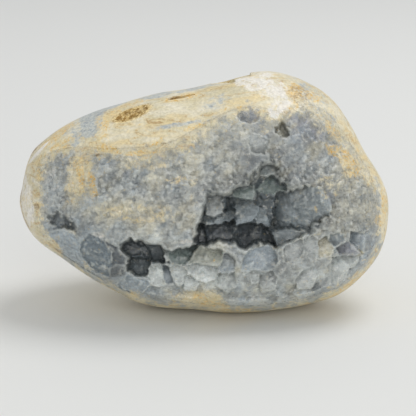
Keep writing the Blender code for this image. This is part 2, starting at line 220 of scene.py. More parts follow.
def sheet_depth(u, v):
    """How far below the ground surface the middles of the crystals lie."""
    lower = smooth_step(-20, -28, v) * smooth_step(-44, -30, u)
    right = smooth_step(40, 58, u) * smooth_step(-26, -16, v)
    depth = 3.1 + 2.6 * lower - 1.1 * right
    flush = spots(u, v, GROUND_LEVEL)
    depth = depth * (1 - 0.7 * flush)
    upper = smooth_step(0, 15, v)
    from_rim = smooth_step(-0.5, 8.0 - 4.0 * lower + 5.0 * upper, rim_distance(u, v))
    depth = (depth + 1.1 * (1 - flush) * waves(u, v, 13.0, 6)).clip(0.4) * from_rim - 0.1
    wobble_u = u + 1.1 * waves(u, v, 7.0, 3)
    wobble_v = v + 1.1 * waves(u, v, 7.0, 4)
    soft_side = 8.0 * np.maximum(smooth_step(34, 46, u), smooth_step(-4, 4, v)) * smooth_step(-20, -12, v)
    for edge, deep, (cu, cv), (along_u, along_v), wall in HOLLOWS:
        if edge is MAIN_HOLLOW:
            wall = wall + soft_side
        inside = distance_inside(wobble_u, wobble_v, edge)
        floor = np.clip(deep + (u - cu) * along_u + (v - cv) * along_v, 4, 27)
        depth = depth + (floor - depth).clip(0) * smooth_step(-0.35 * wall, 0.65 * wall, inside)
    return depth


def hollow_floor(u, v):
    """The limestone under the crystals: a smoothed form of their feet's surface, a little deeper."""
    deepest = sheet_depth(u, v)
    for reach in (3.0, 6.0):
        for turn in range(6):
            du = reach * math.cos(turn * math.pi / 3)
            dv = reach * math.sin(turn * math.pi / 3)
            deepest = np.maximum(deepest, sheet_depth(u + du, v + dv) - 0.6 * reach)
    rise = smooth_step(-1, 7, rim_distance(u, v))
    return front_surface(u, v) - 2.0 - (deepest.clip(0) + CRUST_THICKNESS) * rise


def nodule_points(directions):
    """Where each direction from the centre meets the ground surface."""
    side = np.hypot(directions[:, 0], directions[:, 1])
    reach = outline(np.arctan2(directions[:, 1], directions[:, 0]))
    depth = np.where(directions[:, 2] > 0, FRONT_DEPTH, BACK_DEPTH)
    size = (side / reach) ** ROUNDNESS + (np.abs(directions[:, 2]) / depth) ** ROUNDNESS
    points = directions * (size ** (-1 / ROUNDNESS))[:, None]
    for facing, distance in BACK_FLATS:
        facing = np.array(facing) / np.linalg.norm(facing)
        beyond = (points @ facing - distance) / FLAT_SOFTNESS
        points = points - np.outer(np.logaddexp(0, beyond) * FLAT_SOFTNESS, facing)
    swell = [noise.noise(Vector(p) * 0.035) for p in points]
    back = smooth_step(4, -8, points[:, 2])
    return points * (1 + 0.022 * np.array(swell) * back)[:, None]


def set_points(bm, points):
    for vert, point in zip(bm.verts, points):
        vert.co = point


def turn_and_place(bm, centre, turn, size):
    place = Matrix.Translation(centre) @ turn @ Matrix.Diagonal((*size, 1))
    bmesh.ops.transform(bm, matrix=place, verts=bm.verts)


def to_object(bm, name):
    bmesh.ops.recalc_face_normals(bm, faces=bm.faces)
    mesh = bpy.data.meshes.new(name)
    bm.to_mesh(mesh)
    bm.free()
    made = bpy.data.objects.new(name, mesh)
    bpy.context.scene.collection.objects.link(made)
    return made


def build_nodule(name, cuts):
    """The whole ground nodule: a cube cut into even squares and swelled out to it."""
    bm = bmesh.new()
    bmesh.ops.create_cube(bm, size=2)
    bmesh.ops.subdivide_edges(bm, edges=bm.edges[:], cuts=cuts, use_grid_fill=True)
    directions = np.tan(np.array([v.co[:] for v in bm.verts]) * math.pi / 4)
    directions /= np.linalg.norm(directions, axis=1)[:, None]
    set_points(bm, nodule_points(directions))
    return to_object(bm, name)


def close_to_far_side(bm, far_side):
    """Draws an open sheet's edge straight down to a flat far side, and closes it there."""
    edge = [e for e in bm.edges if e.is_boundary]
    pulled = bmesh.ops.extrude_edge_only(bm, edges=edge)["geom"]
    for vert in (g for g in pulled if isinstance(g, bmesh.types.BMVert)):
        vert.co.z = far_side
    bmesh.ops.edgeloop_fill(bm, edges=[e for e in bm.edges if e.is_boundary])


def opening_block(name, surface):
    """A block that fills the opening's outline, from a surface in it to a flat side in front."""
    bm = bmesh.new()
    bmesh.ops.create_grid(bm, x_segments=BLOCK_CELLS, y_segments=BLOCK_CELLS, size=1)
    a = np.array([v.co.x for v in bm.verts])
    b = np.array([v.co.y for v in bm.verts])
    round_a = a * np.sqrt(1 - b * b / 2)
    round_b = b * np.sqrt(1 - a * a / 2)
    reach = opening(np.arctan2(round_b, round_a))
    u = round_a * reach
    v = round_b * reach
    set_points(bm, np.stack([u, v, surface(u, v)], axis=1))
    bmesh.ops.triangulate(bm, faces=bm.faces[:], quad_method="FIXED")
    close_to_far_side(bm, FAR_FRONT)
    return to_object(bm, name)


def apply(piece, modifier):
    """Makes a modifier's result the piece's own mesh."""
    graph = bpy.context.evaluated_depsgraph_get()
    made = bpy.data.meshes.new_from_object(piece.evaluated_get(graph))
    piece.modifiers.remove(modifier)
    piece.data = made


def combine(piece, other, operation):
    """Runs a Boolean for good and removes the other object."""
    modifier = piece.modifiers.new(operation, "BOOLEAN")
    modifier.operation = operation
    modifier.solver = "MANIFOLD"
    modifier.object = other
    apply(piece, modifier)
    bpy.data.objects.remove(other)


# ---- crystals

# The crystals' colours, as the eye sees them. 'pit' is painted shade for the deep parts of the hollows, and
# 'dark' is partly painted shade too.
CRYSTAL_COLOURS = {
    "pale": (200, 205, 202),
    "grey": (180, 184, 182),
    "cream": (204, 199, 178),
    "mauve": (150, 152, 160),
    "blue": (157, 167, 173),
    "slate": (140, 148, 151),
    "steel": (108, 119, 126),
    "moss": (118, 130, 126),
    "shade": (150, 156, 154),
    "stone": (172, 174, 162),
    "dark": (92, 98, 102),
    "pit": (92, 100, 104),
}

# The largest crystals: colour; how far the face lies below the ground surface at the crystal's middle,
# and its slope along u and v; how wide its bevelled edges are; and its corners, u and v in turn
# The dark, slate and moss colours of the crystals deep in the hollows are partly their own colour, partly
# painted shade for their depth
LARGE_CRYSTALS = (
    ("mauve", 1, 0, 0.05, 0.3, 13.9, 32.7, 16.1, 35.4, 20.6, 35.4, 24.2, 33.2, 22.9, 30, 19.7, 28.7,
     16.1, 29.6),
    ("grey", 2, -0.15, 0.15, 0.5, 18.8, 23, 23, 24, 27, 20.8, 25.4, 15.8, 20, 16.4),
    ("grey", 9.5, 0.1, -0.3, 0.8, 1.8, -2.7, 8.1, -2.3, 7.4, -9.8, 5.2, -11, 0.8, -10.2),
    ("slate", 13, 0.05, -0.7, 0.6, -0.2, -10.4, 5.2, -10.9, 7.4, -9.8, 13, -8.1, 12.6, -12.1, 8.1, -13.9,
     1.2, -14.8),
    ("dark", 19, -0.05, -0.3, 0.6, 0.4, -14.8, 8.1, -13.9, 12.2, -12.5, 12.7, -21, 8.9, -22, 1.4, -22.6),
    ("dark", 20.5, 0, 0, 0.4, -3.8, -18.1, -1.1, -16.4, 0.4, -14.8, 1.4, -22.6, -3.1, -24.3),
    ("dark", 18, -0.1, -0.25, 0.6, 14.7, -14.3, 28, -13.9, 28.8, -17.7, 30.9, -24.7, 27.1, -22.6, 18, -24.1,
     14.7, -22.2),
    ("slate", 13.5, 0.15, -0.3, 0.8, 13, -3.1, 20.5, -4.4, 24, -6.9, 22.2, -11.4, 17.2, -13.9, 14.1, -14.3),
    ("slate", 13.5, -0.2, -0.35, 0.4, 24, -6.9, 26.3, -7.7, 27.6, -13.9, 22.2, -13.5, 22.2, -11.4),
    ("slate", 10, 0.42, 0.42, 0.8, 26.3, -2.7, 32.9, -0.4, 41.2, 2, 49.6, 1.4, 54, -5.7, 52.5, -12.7,
     44.6, -16.4, 37.1, -14.3, 32.9, -15.2, 27.6, -13.9, 26.3, -7.7),
    ("slate", 12.5, 0.35, -0.25, 0.8, -34.5, -34.8, -31.5, -28.5, -27, -27, -23, -30.5, -24, -36,
     -29, -36.5),
    ("dark", 15, -0.3, -0.1, 0.8, -35.2, -24.2, -31.5, -28.5, -27, -27, -21.5, -29.5, -19.5, -22.5,
     -28, -20),
    ("moss", 9, -0.25, -0.45, 0.8, -15.5, -24.5, -8, -23, -3, -22.5, -2.5, -27, -8, -31, -14.5, -31.5),
    ("slate", 8.5, -0.05, 0.35, 0.6, 28.4, -17.9, 35.8, -16.2, 45, -18.1, 42.5, -19.7, 35, -21,
     31.3, -24.3),
    ("moss", 9.5, 0.1, -0.25, 0.6, 21.8, 0.6, 27.6, 6, 31.3, 8.9, 35.2, 1.8, 33.8, 0.2, 26.7, -1.5),
    ("shade", 6.5, 0.05, -0.45, 0.6, 24.2, 11.6, 31.3, 11.2, 31.3, 8.9, 27.6, 6, 23.4, 6.8),
    ("moss", 8.5, 0.1, -0.4, 0.6, 8.9, 3.1, 20.5, 3.5, 21.8, 0.6, 20.5, -3.8, 13, -2.7, 11, 0.2),
    ("steel", 1.6, 0, 0, 0.7, -52.4, -21.5, -47.6, -17.9, -42.5, -20.9, -39.3, -25.5, -38.9, -31, -41, -37,
     -45.2, -35.9, -48.4, -32.7, -51.6, -29.5, -53.2, -25.5),
    ("dark", 1.9, 0, 0, 0.5, -42.5, -20.9, -35.6, -23.9, -32.4, -27.9, -32.8, -33.5, -35.6, -36.3,
     -41, -36.8, -38.9, -31, -39.3, -25.5),
    ("blue", 0.6, 0, 0, 0.6, -69.4, -17.9, -59.6, -16.3, -55.6, -18.3, -52.4, -21.5, -53.2, -25.5,
     -51.6, -29.5, -49.2, -32.9, -52.4, -32.7, -59.2, -30.7, -66.4, -25.5),
    ("blue", 0.5, 0, 0, 0.4, -52.4, -34.3, -48.4, -33.1, -45.2, -35.9, -42.8, -38.7, -45.6, -40.7,
     -51.6, -37.1),
    ("blue", 1.2, 0, -0.05, 0.9, -37.9, -40.4, -34.9, -36.4, -30.9, -35.2, -23.7, -37.2, -22.9, -40.4,
     -26.9, -44, -31.3, -44.6, -36.1, -44.4),
    ("pale", 4, -0.1, -0.15, 0.8, -22.9, -32, -18.1, -31.2, -17.1, -37.2, -18.5, -40.8, -22.9, -40.4,
     -23.7, -35.6),
    ("blue", 5.5, 0, -0.2, 0.5, -17.3, -31.6, -14.9, -32.6, -13.1, -38.8, -14.5, -39.8, -17.3, -38),
    ("pale", 3.2, 0.08, -0.2, 0.8, -14.9, -32.8, -10.9, -31.6, -7.3, -33.6, -7.7, -37.2, -10.5, -40.8,
     -12.5, -38.8, -14.1, -35.6),
    ("pale", 1.8, -0.15, -0.1, 0.7, -8.9, -36.4, -5.3, -35.6, -2.1, -39.6, -3.7, -42.8, -8.1, -42.4),
    ("pale", 3, 0, -0.15, 0.8, -6.9, -32, -3.7, -30.5, 1.9, -31.6, 5.9, -32.4, 5.5, -37.2, 1.1, -39.2,
     -3.7, -37.6, -6.1, -35.6),
    ("stone", 4, 0.05, -0.2, 0.8, -5.9, -24.8, -0.9, -22.8, 1.9, -24.4, 7.7, -25.2, 8.1, -29.6, 5.9, -32.4,
     1.9, -31.6, -3.7, -30.5, -6.5, -30.8),
    ("blue", 6, 0.12, -0.12, 1.2, 1.9, -23.4, 9.9, -21.4, 12.9, -22.2, 13.7, -26.8, 12.7, -34.8, 7.5, -35.2,
     5.9, -32.4, 8.1, -29.6, 7.7, -25.2),
    ("pale", 2.4, 0, -0.05, 0.6, 5.9, -35.2, 12.7, -34.8, 13.9, -40.4, 9.9, -43.6, 5.1, -40.4),
    ("blue", 2.2, -0.04, -0.06, 1.3, 16.5, -29.4, 19.6, -25, 27, -22.8, 30.3, -25.4, 31.2, -29.4,
     28.7, -33.9, 23.6, -34.3, 19.6, -33.9, 15.9, -34.3),
    ("pale", 1.6, 0, 0, 0.5, 19.6, -33.9, 22.3, -33, 23.8, -36.1, 23.3, -39.3, 20, -39.4),
    ("grey", 2, 0.1, 0.1, 0.8, 23.8, -36.1, 28.7, -33.9, 31.2, -37.8, 30.7, -42.3, 25, -43.2, 23.3, -39.3),
    ("grey", 4, -0.1, 0.2, 0.8, 33.6, -25, 36.5, -22.1, 41.1, -20.6, 42.5, -23.7, 40.2, -28.5, 34.7, -29.6),
    ("grey", 3.2, 0.05, 0.1, 0.8, 42.7, -20.6, 45.8, -19.2, 48.7, -21.4, 48.7, -26.3, 47.1, -30.1,
     44.5, -28.5, 42.5, -23.7),
    ("cream", 2, 0.05, 0, 0.7, 48.7, -21.4, 51.6, -19.2, 55.3, -24.5, 54.4, -28.1, 49.3, -27.9),
    ("slate", 2.6, 0, 0.2, 0.5, 54, -18.6, 59.5, -18.3, 59.8, -21.4, 55.5, -23.4, 53.5, -21),
    ("mauve", 2, 0.1, 0.05, 0.7, 56.9, -24.1, 62.6, -21.4, 67.3, -26.8, 64, -28.1, 58.6, -27.4),
    ("pale", 1, 0, 0, 0.7, 55.3, -28.5, 60.9, -27.7, 67.1, -28.1, 66.6, -31.2, 62.6, -33.4, 59.8, -41.4,
     56.4, -40.1, 54.9, -33.9),
    ("grey", 1.2, 0, 0.05, 0.7, 42.7, -33.9, 46.7, -32.5, 48.4, -36.1, 46.7, -41.4, 40, -42.3, 39.1, -37.8),
    ("blue", 2.2, 0.1, 0.1, 0.6, 63.1, -17.5, 69.7, -18.8, 70.2, -21.9, 68.8, -26.3, 62.6, -21.4),
)

# Where the small crystals lean towards one of the colours, as soft ellipses: see spots()
COLOUR_AREAS = (
    ("blue", (
        (-47, -26, 22, 14, -35, 0.9), (-30, -41, 14, 6, -15, 0.7), (74, -25, 10, 9, 0, 0.9),
    )),
    ("mauve", (
        (-65, 3, 9, 12, 10, 0.35), (22, 31.5, 6, 4, 10, 1), (42, 27, 12, 7, -20, 0.8),
    )),
    ("cream", (
        (-27, -9.5, 26, 7, -4, 0.8), (-14, 12, 20, 8, 12, 0.5), (6, 16, 14, 14, 30, 0.4),
        (62, 0, 14, 24, -10, 0.5),
    )),
    ("pale", (
        (-66, 1, 8, 13, 0, 0.7), (-14, -18, 22, 5, 4, 0.7), (0, -38, 22, 7, 0, 0.7),
        (45, -37, 18, 9, 8, 0.5),
    )),
    ("slate", (
        (22, 10, 16, 8, 0, 0.5), (-66, 8, 5, 4, 20, 0.4), (-20, 13, 8, 2.6, -20, 0.5),
        (-36, 6, 7, 4, 30, 0.5),
    )),
    # The dark areas are painted shade, in the left pocket and the small hole near the top
    ("dark", (
        (-60.5, -13.4, 7, 4.2, -26, 1.5), (33.4, 26, 4.2, 4.2, 0, 1.2),
    )),
)


def crystal_width(u, v, depth):
    """How wide the middling crystals are at a place."""
    lower = smooth_step(-18, -28, v) * smooth_step(-50, -30, u)
    right = smooth_step(36, 54, u) * smooth_step(-26, -16, v)
    near_rim = smooth_step(9, 1, rim_distance(u, v))
    width = 3.6 - 1.2 * right + 1.9 * lower + 1.4 * spots(u, v, GREW_WIDER) - 1.2 * near_rim
    return np.maximum(width + 1.5 * smooth_step(7, 16, depth), 1.5)


def crystal_colour(name):
    return np.array(colour(*CRYSTAL_COLOURS[name])[:3])


def mark(u, v):
    """The cell of the druse's grids that a place is in."""
    i = np.clip(np.rint((u - LOW_U) / CELL), 0, CELLS_U).astype(int)
    j = np.clip(np.rint((v - LOW_V) / CELL), 0, CELLS_V).astype(int)
    return i, j


def window_of(low_u, low_v, high_u, high_v):
    """The part of the druse's grids that covers a small place."""
    (i0, j0), (i1, j1) = mark(low_u, low_v), mark(high_u, high_v)
    return slice(i0, i1 + 1), slice(j0, j1 + 1)


def crystal_planes(draw):
    """The outer faces of one blocky crystal, one unit wide: the way each faces, and how far out it lies."""
    lozenge = math.radians(draw.uniform(36, 48))
    tip = math.radians(draw.uniform(36, 54))
    faces = [((0, 0, 1), draw.uniform(0.48, 0.66))]
    for side in (-1, 1):
        faces.append(((side * math.cos(lozenge), math.sin(lozenge), 0), draw.uniform(0.40, 0.56)))
        faces.append(((side * math.cos(lozenge), -math.sin(lozenge), 0), draw.uniform(0.40, 0.56)))
        faces.append(((side * math.sin(tip), 0, math.cos(tip)), draw.uniform(0.42, 0.62)))
        faces.append(((0, side * math.sin(tip), math.cos(tip)), draw.uniform(0.46, 0.68)))
    return faces


def grow_crystals(druse, share, tries, seed):
    """Strews crystals of one size over the druse, each standing a little out of what is there already."""
    draw = random.Random(seed)
    u, v, height = druse["u"], druse["v"], druse["height"]
    taken = np.zeros(height.shape, bool)
    for _ in range(tries):
        cu, cv = draw.uniform(-77, 78), draw.uniform(-51, 39)
        i, j = mark(cu, cv)
        size = druse["width"][i, j] * share * draw.uniform(0.8, 1.25)
        lean = 0.34 if druse["depth"][i, j] < 8 else 0.55
        up = Vector((draw.gauss(0, lean), draw.gauss(0, lean), 1)).normalized()
        turn = up.to_track_quat("Z", "Y").to_matrix() @ Matrix.Rotation(draw.uniform(0, math.pi), 3, "Z")
        faces = crystal_planes(draw)
        stand_out = size * draw.uniform(0.12, 0.34)
        most = draw.uniform(0.4, 1.0)
        crystal_tone, crystal_hue = draw.uniform(0, 1), draw.uniform(0, 1)
        on_large = druse["large"][i, j] > 0.7
        if taken[i, j] or druse["rim"][i, j] < -1.5 or (on_large and draw.random() < 0.96):
            continue
        reach = 0.75 * size
        window = window_of(cu - reach, cv - reach, cu + reach, cv + reach)
        du, dv = u[window] - cu, v[window] - cv
        taken[window] |= np.hypot(du, dv) < 0.36 * size
        planes = []
        for facing, distance in faces:
            facing = turn @ Vector(facing)
            if facing.z > -0.02:
                out = max(facing.z, 0.12)
                planes.append((distance * size - facing.x * du - facing.y * dv) / out)
        planes = np.stack(planes)
        form = planes.min(0)
        form = form - form.max() + height[i, j] + stand_out
        form = np.minimum(form, druse["sheet"][window] + druse["room"][window] * most)
        wins = form > height[window]
        if not on_large:
            wins &= druse["large"][window] < 0.8
        # Each face of a crystal gets a tone of its own at random: painted shading, in place of light
        # falling differently on its faces
        facet_tone_and_shading = np.array([draw.uniform(-0.22, 0.22) for _ in planes])[planes.argmin(0)]
        own = min(0.25 + 0.6 * share, 1)
        crystal_tone = own * (crystal_tone + facet_tone_and_shading) + (1 - own) * druse["tone"][i, j]
        crystal_hue = own * crystal_hue + (1 - own) * druse["hue"][i, j]
        for name, value in (("height", form), ("tone", crystal_tone), ("hue", crystal_hue)):
            druse[name][window] = np.where(wins, value, druse[name][window])
    druse["height"] = np.minimum(druse["height"], druse["ground"])


def set_large_crystals(druse):
    """Sets the largest crystals among the small ones, and colours them."""
    draw = random.Random(SEED + 2)
    u, v, ground, height = druse["u"], druse["v"], druse["ground"], druse["height"]
    # How far past its corners a crystal may reach: furthest in the hollows, where they stand close
    nearest = np.where(spots(u, v, GROUND_LEVEL) > 0.3, -1.0, -0.3)
    nearest = np.where(ground - height > IN_HOLLOW, -1.8, nearest)
    for name, level, slope_u, slope_v, bevel, *corners in LARGE_CRYSTALS:
        us, vs = corners[::2], corners[1::2]
        corners = tuple(zip(us, vs))
        cu, cv = sum(us) / len(us), sum(vs) / len(vs)
        window = window_of(min(us) - 2, min(vs) - 2, max(us) + 2, max(vs) + 2)
        sway = 0.32 if level < IN_HOLLOW else 0.6
        wu = u[window] + sway * waves(u[window], v[window], 3.4, 31)
        wv = v[window] + sway * waves(u[window], v[window], 3.4, 32)
        inside = distance_inside(wu, wv, corners)
        form = ground[mark(cu, cv)] - level + slope_u * (wu - cu) + slope_v * (wv - cv)
        shade = np.full(form.shape, draw.uniform(0.94, 1.06))
        way = draw.uniform(0, 2 * math.pi)
        polished = level < 2 and name in ("steel", "blue", "dark")
        if polished:
            form = ground[window] - 0.5 * level
        for turn in () if polished else (0.0, draw.uniform(1.8, 2.8), draw.uniform(3.4, 4.4)):
            along = math.cos(way + turn) * (wu - cu) + math.sin(way + turn) * (wv - cv)
            beyond = along - inside.max() * draw.uniform(0.2, 0.75)
            form = form - draw.uniform(0.15, 0.45) * beyond.clip(0)
            # Each bevelled face gets its own painted shade, lighter or darker at random
            shade = np.where(beyond > 0, shade * draw.uniform(0.88, 1.12), shade)
        if level < IN_HOLLOW:
            form = form - (0.2 if polished else 0.6) * (0.6 * bevel - inside).clip(0)
            form = np.minimum(form, ground[window] - 0.1 * min(level, 1))
        taken = inside > nearest[window]
        if level >= OVER_WALL:
            taken &= form > druse["sheet"][window] - 0.2
        if polished:
            rings = np.sin(inside * 4.4 + 0.8 * waves(wu, wv, 9.0, 33))
            rings = rings.clip(0) ** 3 * smooth_step(0.4, 1.2, inside)
            shade = shade * (1 + 0.32 * rings - 0.04 * smooth_step(1, 5, inside))
        nearest[window] = np.where(taken, inside, nearest[window])
        height[window] = np.where(taken, form, height[window])
        paint_with = crystal_colour(name) * (shade**2)[..., None]
        druse["tint"][window] = np.where(taken[..., None], paint_with, druse["tint"][window])
        cover = np.where(taken, smooth_step(-0.2, 0.6, inside), 0)
        druse["large"][window] = np.maximum(druse["large"][window], cover)
        above = form - druse["sheet"][window]
        over_wall = smooth_step(-0.2, 2.5, above) if level >= OVER_WALL else 1.0
        druse["own_colour"][window] = np.where(taken, over_wall, druse["own_colour"][window])


def soften(grid, reach):
    """Evens out a grid over a reach in millimetres, which rounds the crystals' edges."""
    for _ in range(round((reach / CELL) ** 2 * 4)):
        wide = np.pad(grid, [(1, 1), (1, 1)] + [(0, 0)] * (grid.ndim - 2), mode="edge")
        middle = wide[1:-1, 1:-1]
        grid = (4 * middle + wide[:-2, 1:-1] + wide[2:, 1:-1] + wide[1:-1, :-2] + wide[1:-1, 2:]) / 8
    return grid


def tint_small_crystals(druse):
    """The small crystals' colours: by area, then a little different from one to the next; with painted
    light lower down and painted shade near and deep in the hollows.
    """
    u, v, tone, hue = druse["u"], druse["v"], druse["tone"], druse["hue"]

    def towards(tint, name, share):
        return tint + share[..., None].clip(0, 1) * (crystal_colour(name) - tint)

    tint = np.zeros((*tone.shape, 3)) + crystal_colour("grey")
    for name, areas in COLOUR_AREAS:
        tint = towards(tint, name, spots(u, v, areas) * (0.5 + 0.8 * tone))
    drift = 0.5 + 0.42 * waves(u, v, 12.0, 41) + 0.4 * (hue - 0.5)
    tint = towards(tint, "blue", 0.75 * smooth_step(0.5, 1.0, drift))
    tint = towards(tint, "cream", 0.75 * smooth_step(0.5, 0.0, drift))
    tint = towards(tint, "cream", 0.6 * smooth_step(9, 0, druse["rim"]) * smooth_step(-12, 6, v))
    tint = tint * (0.59 + 0.56 * tone.clip(-0.1, 1.1) + 0.13 * waves(u, v, 10.0, 42))[..., None]
    tint = tint * (1 - 0.14 * smooth_step(10, 40, u) * smooth_step(-30, -14, v))[..., None]
    # Painted light: the lower band, right of the left end, made lighter as if more light reached it from
    # below
    tint = tint * (1 + 0.10 * smooth_step(-24, -34, v) * smooth_step(-34, -20, u))[..., None]
    # Painted shade: the small crystals darken towards the top and right edges of the main hollow
    shade_near_hollow = smooth_step(-11, 1, distance_inside(u, v, MAIN_HOLLOW))
    shade_near_hollow = shade_near_hollow * np.maximum(smooth_step(34, 44, u), smooth_step(-8, 2, v))
    tint = tint * (1 - 0.48 * shade_near_hollow * smooth_step(-20, -12, v))[..., None]
    # Painted shade: the deeper a small crystal lies below the ground surface, the nearer its colour comes
    # to 'pit'
    return towards(tint, "pit", smooth_step(5.5, 10.5, druse["ground"] - druse["height"]))


def build_druse():
    """All the crystals as one closed crust, ground flush with the nodule round the opening."""
    bm = bmesh.new()
    bmesh.ops.create_grid(bm, x_segments=CELLS_U, y_segments=CELLS_V, size=1)
    places = np.array([v.co[:] for v in bm.verts])
    column = np.rint((places[:, 0] + 1) / 2 * CELLS_U).astype(int)
    row = np.rint((places[:, 1] + 1) / 2 * CELLS_V).astype(int)
    columns, rows = LOW_U + np.arange(CELLS_U + 1) * CELL, LOW_V + np.arange(CELLS_V + 1) * CELL
    u, v = np.meshgrid(columns, rows, indexing="ij")
    ground = front_surface(u, v)
    depth = sheet_depth(u, v)
    none = np.zeros(u.shape)
    druse = {
        "u": u, "v": v, "ground": ground, "depth": depth, "rim": rim_distance(u, v),
        "sheet": ground - depth, "room": 0.9 * depth.clip(0.1, 4.2) + 0.1, "height": ground - depth,
        "width": crystal_width(u, v, depth), "large": none.copy(), "own_colour": none.copy(),
        "tone": none + 0.5, "hue": none + 0.5, "tint": np.zeros((*u.shape, 3)),
    }
    for number, (share, tries) in enumerate(FIRST_ROUNDS):
        grow_crystals(druse, share, tries, SEED + 10 + number)
    set_large_crystals(druse)
    on_large = druse["large"] > 0
    druse["sheet"] = np.where(on_large, druse["height"], druse["sheet"])
    druse["room"] = np.where(on_large, 1.0, druse["room"])
    large_tint = druse["tint"].copy()
    for number, (share, tries) in enumerate(LATER_ROUNDS):
        grow_crystals(druse, share, tries, SEED + 20 + number)
    tint = tint_small_crystals(druse)
    is_large = soften(np.where(druse["large"] > 0.02, druse["own_colour"], 0.0), 0.2)[..., None]
    speckle = (0.93 + 0.14 * druse["tone"].clip(0, 1))[..., None]
    tint = tint + is_large * (large_tint * speckle - tint)

    height = druse["height"] + 0.04 * waves(u, v, 2.6, 21) + 0.03 * waves(u, v, 1.2, 22)
    height = np.minimum(soften(height, 0.22), ground)
    tint = soften(tint, 0.15)
    # Painted shade: darker where the surface lies below its softened form, in the crevices between crystals
    crevice_shade = ((soften(height, 1.3) - height) / 1.6).clip(0, 1)
    # Paler ridges and crystal edges: partly their whiter chipped edges, partly a painted highlight; none
    # deep in the hollows
    pale_edge_and_highlight = ((height - soften(height, 0.6)) / 0.22).clip(0, 1) * smooth_step(11, 4, ground - height)

    set_points(bm, np.stack([u[column, row], v[column, row], height[column, row]], axis=1))
    close_to_far_side(bm, FAR_BACK)
    made = to_object(bm, "crystal_druse")
    room = opening_block("crust_room", lambda a, b: hollow_floor(a, b) + 0.15)
    combine(made, room, "INTERSECT")
    thin_out(made)
    points = points_of(made)
    i, j = mark(points[:, 0], points[:, 1])
    opaque = np.ones((len(points), 1))
    store(made, "tint", np.hstack([tint[i, j], opaque]), "FLOAT_COLOR", "color")
    store(made, "crevice_shade", crevice_shade[i, j])
    store(made, "pale_edge_and_highlight", pale_edge_and_highlight[i, j])
    paint(made, points)
    return made


def thin_out(made):
    """Takes out the triangles that its flat faces don't need."""
    made.data.calc_loop_triangles()
    count = len(made.data.loop_triangles)
    if count > MOST_TRIANGLES:
        modifier = made.modifiers.new("thin_out", "DECIMATE")
        modifier.ratio = MOST_TRIANGLES / count
        apply(made, modifier)


def points_of(made):
    points = np.empty(len(made.data.vertices) * 3)
    made.data.vertices.foreach_get("co", points)
    return points.reshape(-1, 3)


def store(made, name, values, kind="FLOAT", field="value"):
    """Keeps a number, or a colour, for each point of a mesh, for its material to read."""
    layer = made.data.attributes.new(name, kind, "POINT")
    layer.data.foreach_set(field, np.ascontiguousarray(values, dtype=np.float32).ravel())


# ---- stains and colours that run across both the limestone and the crystals

# Where the limestone comes down over the crystals: centre u, v; half-width and half-height; tilt; strength.
# The patch at (-1, -46.5) also lightens the bottom rim: partly real limestone, partly painted light where
# little light reaches.
STONE_ON_CRYSTALS = (
    (-52.5, 7, 7, 13, -6, 0.66), (-33, 17.6, 15, 3.6, -6, 0.8), (-8, 24.5, 12, 2.6, 18, 0.7),
    (-28, -9.5, 22, 4.5, -3, 0.47), (-1, -46.5, 12, 4.5, -3, 0.85), (61, 12, 5, 9, 30, 0.55),
    (-20, 12, 16, 4, 10, 0.45), (66, -38, 10, 3, 40, 0.5), (-12, 3, 10, 4, 10, 0.4), (54, 2, 8, 6, 0, 0.4),
)

